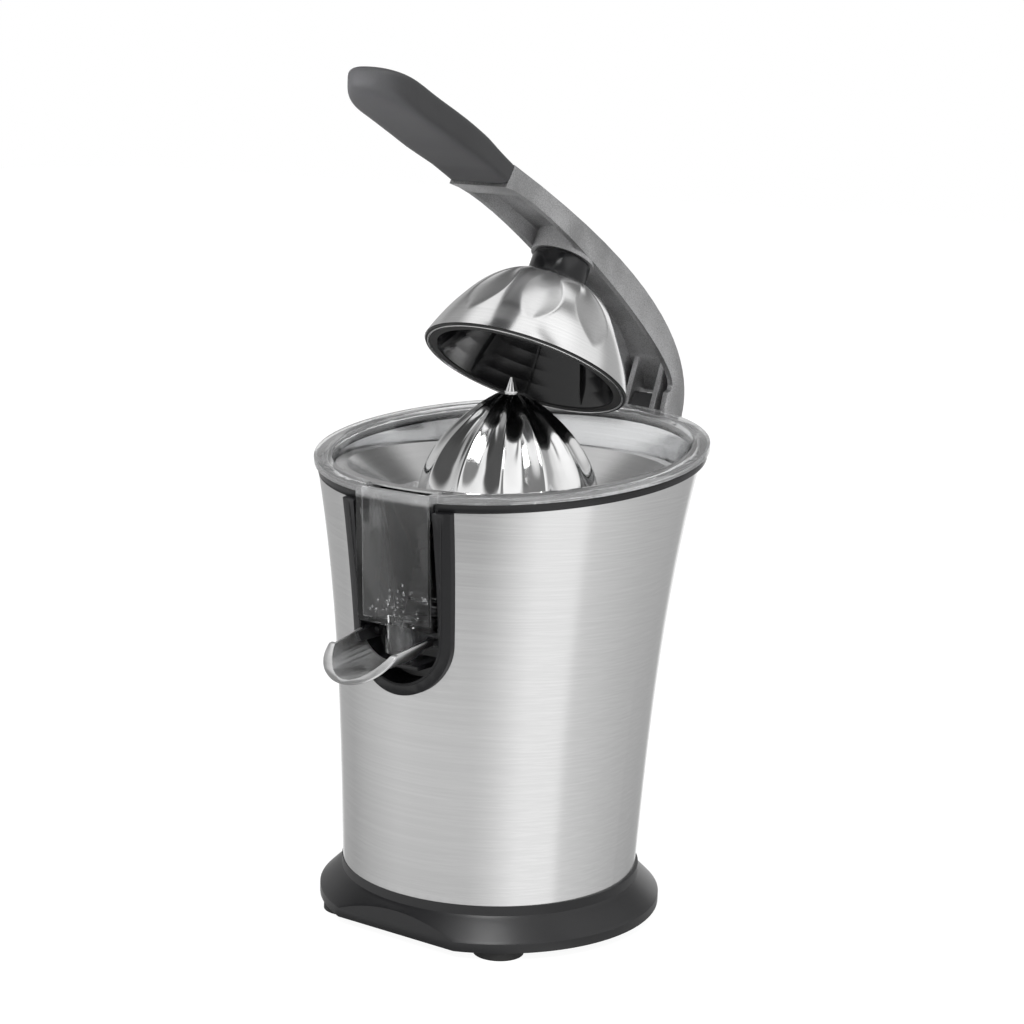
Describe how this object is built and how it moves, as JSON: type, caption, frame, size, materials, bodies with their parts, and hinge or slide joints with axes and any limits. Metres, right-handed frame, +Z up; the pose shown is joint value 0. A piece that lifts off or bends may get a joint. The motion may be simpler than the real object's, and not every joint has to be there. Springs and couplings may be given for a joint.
{
  "type": "electric citrus press",
  "caption": "Electric lever citrus press: flared steel body on a black base, clear juice bowl with sieve and fluted reamer, hinged arm carrying a fluted press dome, tilting spout.",
  "frame": {"origin": "on the table, in the plane of the four feet, under the axis of the drive and reamer", "axes": "+Z up along the drive axis; -Y to the front, where the spout is; +Y to the lever's hinge; +X to the right seen from the front"},
  "size_m": [0.184, 0.2531, 0.39],
  "materials": {
    "brushed_steel": "fine horizontal brushing",
    "sieve_steel": "satin sheet",
    "polished_steel": "polished",
    "clear_plastic": "clear, glossy",
    "black_base": "satin",
    "black_trim": "satin gloss",
    "housing_plastic": "moulded",
    "liner_plastic": "glossy",
    "black_rubber": "matte",
    "grip_rubber": "matte, soft touch",
    "cast_arm": "die cast, silver lacquer",
    "cast_dark": "die cast, dark grey lacquer",
    "fasteners": "zinc plated",
    "shaft_steel": "ground",
    "gear_plastic": "moulded, natural",
    "plate_metal": "die cast, raw",
    "motor_metal": "zinc plated sheet",
    "rotor_metal": "laminated core with copper",
    "bush_bronze": "sintered",
    "switch_plastic": "moulded",
    "terminal_plastic": "moulded"
  },
  "bodies": {
    "body": {"base_skirt": "black_base", "base_plate": "black_base", "foot_1": "black_rubber", "foot_2": "black_rubber", "foot_3": "black_rubber", "foot_4": "black_rubber", "base_screws": "fasteners", "cord_gland": "black_rubber", "tie_bolts": "fasteners", "terminal_block": "terminal_plastic", "steel_shell": "brushed_steel", "trim_ring": "black_trim", "spout_frame": "black_trim", "inner_housing": "housing_plastic", "hinge_block": "cast_dark", "hinge_backplate": "fasteners", "hinge_screws": "fasteners", "hinge_bush": "gear_plastic", "juice_bowl": "clear_plastic", "sieve": "sieve_steel", "gear_plate": "plate_metal", "shaft_bush_upper": "bush_bronze", "shaft_bush_lower": "bush_bronze", "shaft_seal": "black_rubber", "idler_pin": "fasteners", "motor_can": "motor_metal", "motor_end_cap": "housing_plastic", "motor_posts": "fasteners", "motor_screws": "fasteners", "microswitch": "switch_plastic"},
    "lever": {"lever_arm": "cast_arm", "grip": "grip_rubber", "hinge_pin": "fasteners", "dome_bolt": "fasteners"},
    "dome": {"press_dome": "brushed_steel", "dome_liner": "liner_plastic", "dome_seal": "black_rubber", "dome_collar": "black_trim"},
    "output": {"output_gear": "gear_plastic"},
    "reamer": {"drive_shaft": "shaft_steel", "reamer_hub": "housing_plastic", "reamer_cone": "polished_steel", "reamer_tip": "polished_steel", "return_spring": "fasteners"},
    "idler": {"idler_gear": "gear_plastic"},
    "rotor": {"motor_shaft": "shaft_steel", "motor_core": "rotor_metal", "motor_pinion": "shaft_steel", "motor_fan": "housing_plastic"},
    "switch": {"switch_lever": "bush_bronze"},
    "spout": {"spout": "brushed_steel", "spout_pins": "housing_plastic"}
  },
  "joints": [
    {"name": "lever_hinge", "type": "hinge", "parent": "body", "child": "lever", "pos_m": [0, 0.1135, 0.206], "axis": [1, 0, 0], "range_deg": [-60, 20]},
    {"name": "dome_twist", "type": "hinge", "parent": "lever", "child": "dome", "pos_m": [0, 0.01054, 0.25449], "axis": [0, 0.4909, 0.8712], "range_deg": [0, 45]},
    {"name": "reamer_spin", "type": "hinge", "parent": "body", "child": "output", "pos_m": [0, 0, 0.12], "axis": [0, 0, 1], "continuous": true},
    {"name": "reamer_press", "type": "slide", "parent": "output", "child": "reamer", "axis": [0, 0, 1], "range_m": [-0.003, 0], "stiffness_N_per_m": 3000, "springref_m": 0.004, "deforming": ["return_spring"]},
    {"name": "idler_spin", "type": "hinge", "parent": "body", "child": "idler", "pos_m": [0, 0.0375, 0.115], "axis": [0, 0, 1], "continuous": true},
    {"name": "motor_spin", "type": "hinge", "parent": "body", "child": "rotor", "pos_m": [0.0203, 0.02047, 0.1], "axis": [0, 0, 1], "continuous": true},
    {"name": "switch_lever_tilt", "type": "hinge", "parent": "body", "child": "switch", "pos_m": [-0.018, 0, 0.094], "axis": [0, 1, 0], "range_deg": [0, 11]},
    {"name": "spout_tilt", "type": "hinge", "parent": "body", "child": "spout", "pos_m": [0, -0.0773, 0.1429], "axis": [-1, 0, 0], "range_deg": [0, 20]}
  ],
  "couplings": [
    {"joint": "idler_spin", "follows": "reamer_spin", "ratio": -4},
    {"joint": "motor_spin", "follows": "reamer_spin", "ratio": 15.273},
    {"joint": "switch_lever_tilt", "follows": "reamer_press", "rad_per_m": -63.3}
  ]
}
